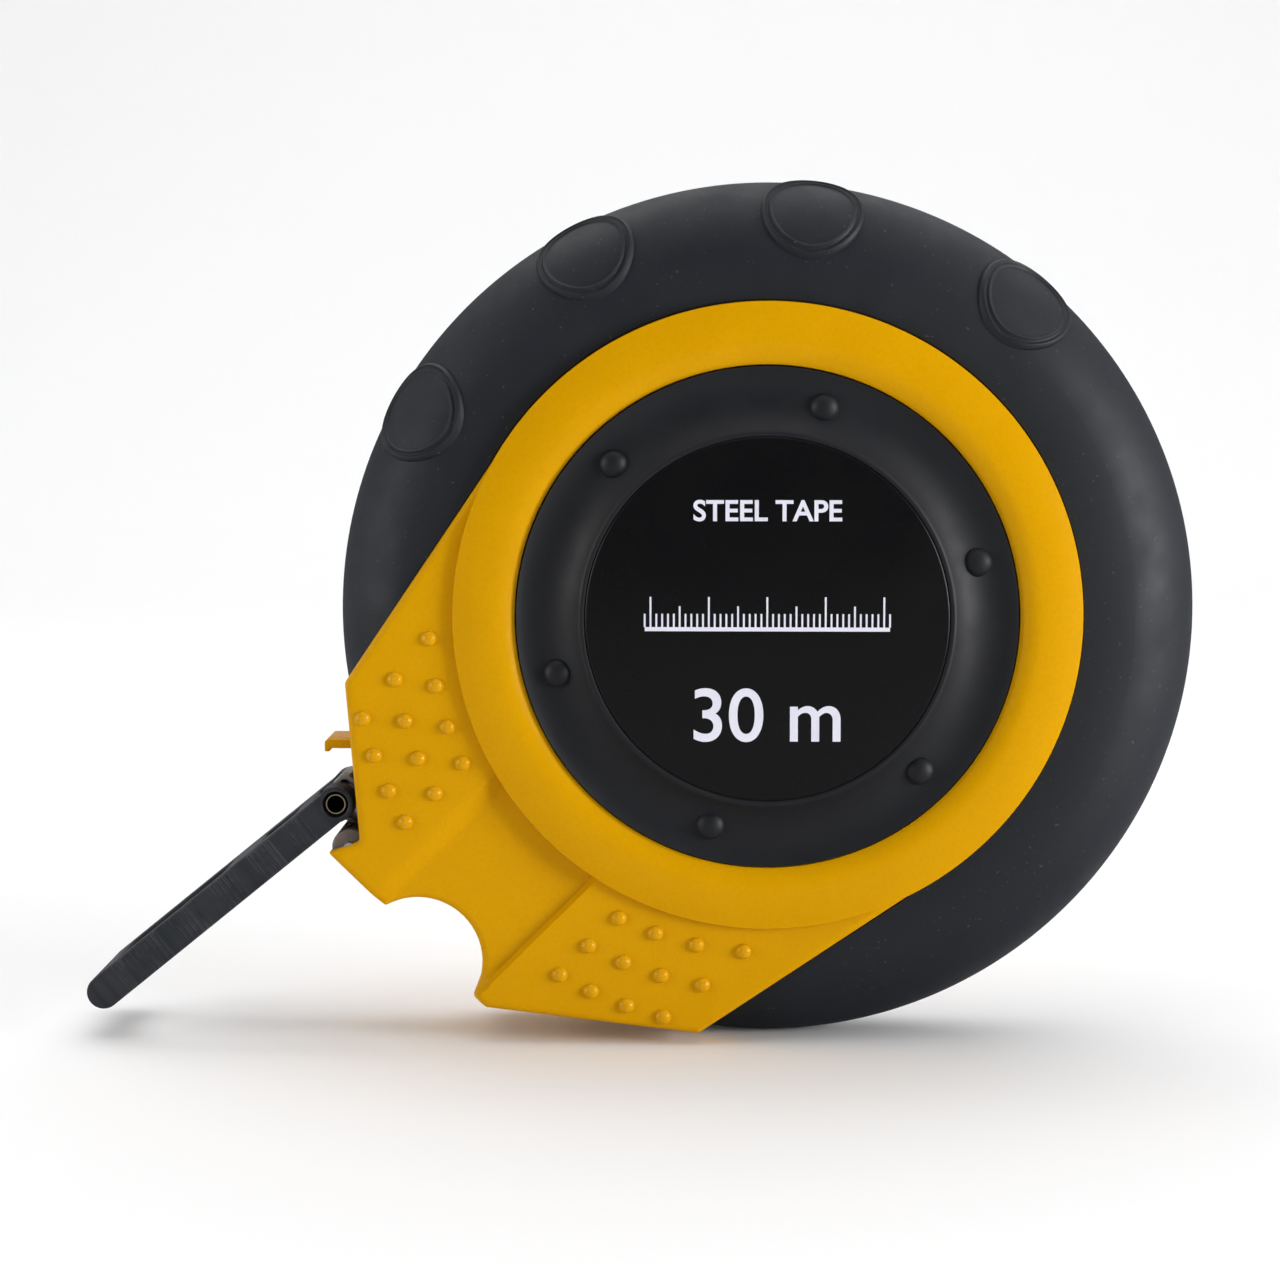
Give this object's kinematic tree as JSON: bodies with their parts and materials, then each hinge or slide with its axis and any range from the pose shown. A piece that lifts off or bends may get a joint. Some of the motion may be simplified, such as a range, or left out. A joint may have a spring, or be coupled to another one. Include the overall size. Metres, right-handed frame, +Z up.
{
  "type": "surveyor tape reel",
  "caption": "Closed round case with a wound steel tape on a hand-cranked drum, a pull ring on the tape's end, a pointed nose with a finger notch and a rubber grip.",
  "frame": {"origin": "centre of the label face, on the drum axis", "axes": "+Y along the drum axis from the label face towards the crank side, +X to the right as the label faces the viewer, +Z up with the case standing on its edge"},
  "size_m": [0.1947, 0.0409, 0.1502],
  "materials": {
    "yellow_plastic": "fine matte grain, satin sheen",
    "black_rubber": "satin, fine grain",
    "black_plastic": "fine satin grain",
    "label_film": "smooth semi-gloss film with light print",
    "grey_plastic": "satin moulded, fine ribs",
    "drum_plastic": "plain moulded",
    "nylon": "natural nylon",
    "tape_steel": "light lacquer with dark graduations",
    "plated_steel": "bright zinc plate",
    "rivet_brass": "dull nickelled brass"
  },
  "bodies": {
    "case": {"front_shell": "yellow_plastic", "rear_shell": "yellow_plastic", "front_grip": "black_rubber", "rear_grip": "black_rubber", "hub_cover": "black_plastic", "label_disc": "label_film", "spindle": "plated_steel", "thrust_washer": "nylon", "end_washer": "plated_steel", "spindle_screw": "plated_steel", "housing_screws": "plated_steel", "roller_pin": "plated_steel", "ring_catch": "yellow_plastic"},
    "drum": {"drum_hub": "drum_plastic", "drum_bush": "nylon", "front_flange": "drum_plastic", "rear_flange": "drum_plastic", "tape_coil": "tape_steel", "crank_disc": "black_plastic", "crank_hinge_pin": "plated_steel", "drum_screws": "plated_steel"},
    "crank": {"crank_arm": "black_plastic", "knob_pin": "plated_steel"},
    "knob": {"knob": "black_plastic"},
    "tape_lead": {"tape_lead": "tape_steel", "end_fitting": "plated_steel", "fitting_rivets": "plated_steel"},
    "end_ring": {"end_ring": "grey_plastic", "end_rivet": "rivet_brass"},
    "mouth_roller": {"mouth_roller": "grey_plastic"}
  },
  "joints": [
    {"name": "drum_spin", "type": "hinge", "parent": "case", "child": "drum", "pos_m": [0, 0.021, 0], "axis": [0, 1, 0], "range_deg": [0, 57.2]},
    {"name": "tape_run", "type": "slide", "parent": "case", "child": "tape_lead", "axis": [-0.8704, 0, 0.4924], "range_m": [0, 0.06315]},
    {"name": "end_ring_fold", "type": "hinge", "parent": "tape_lead", "child": "end_ring", "pos_m": [-0.0754, 0.021, -0.0334], "axis": [0, 1, 0], "range_deg": [-18, 119]},
    {"name": "crank_fold", "type": "hinge", "parent": "drum", "child": "crank", "pos_m": [0, 0.0386, 0.024], "axis": [1, 0, 0], "range_deg": [0, 180]},
    {"name": "knob_spin", "type": "hinge", "parent": "crank", "child": "knob", "pos_m": [0, 0.026, -0.0135], "axis": [0, 1, 0], "continuous": true},
    {"name": "roller_spin", "type": "hinge", "parent": "case", "child": "mouth_roller", "pos_m": [-0.07283, 0.021, -0.04087], "axis": [0, 1, 0], "continuous": true}
  ],
  "couplings": [
    {"joint": "tape_run", "follows": "drum_spin", "m_per_rad": 0.06315}
  ]
}
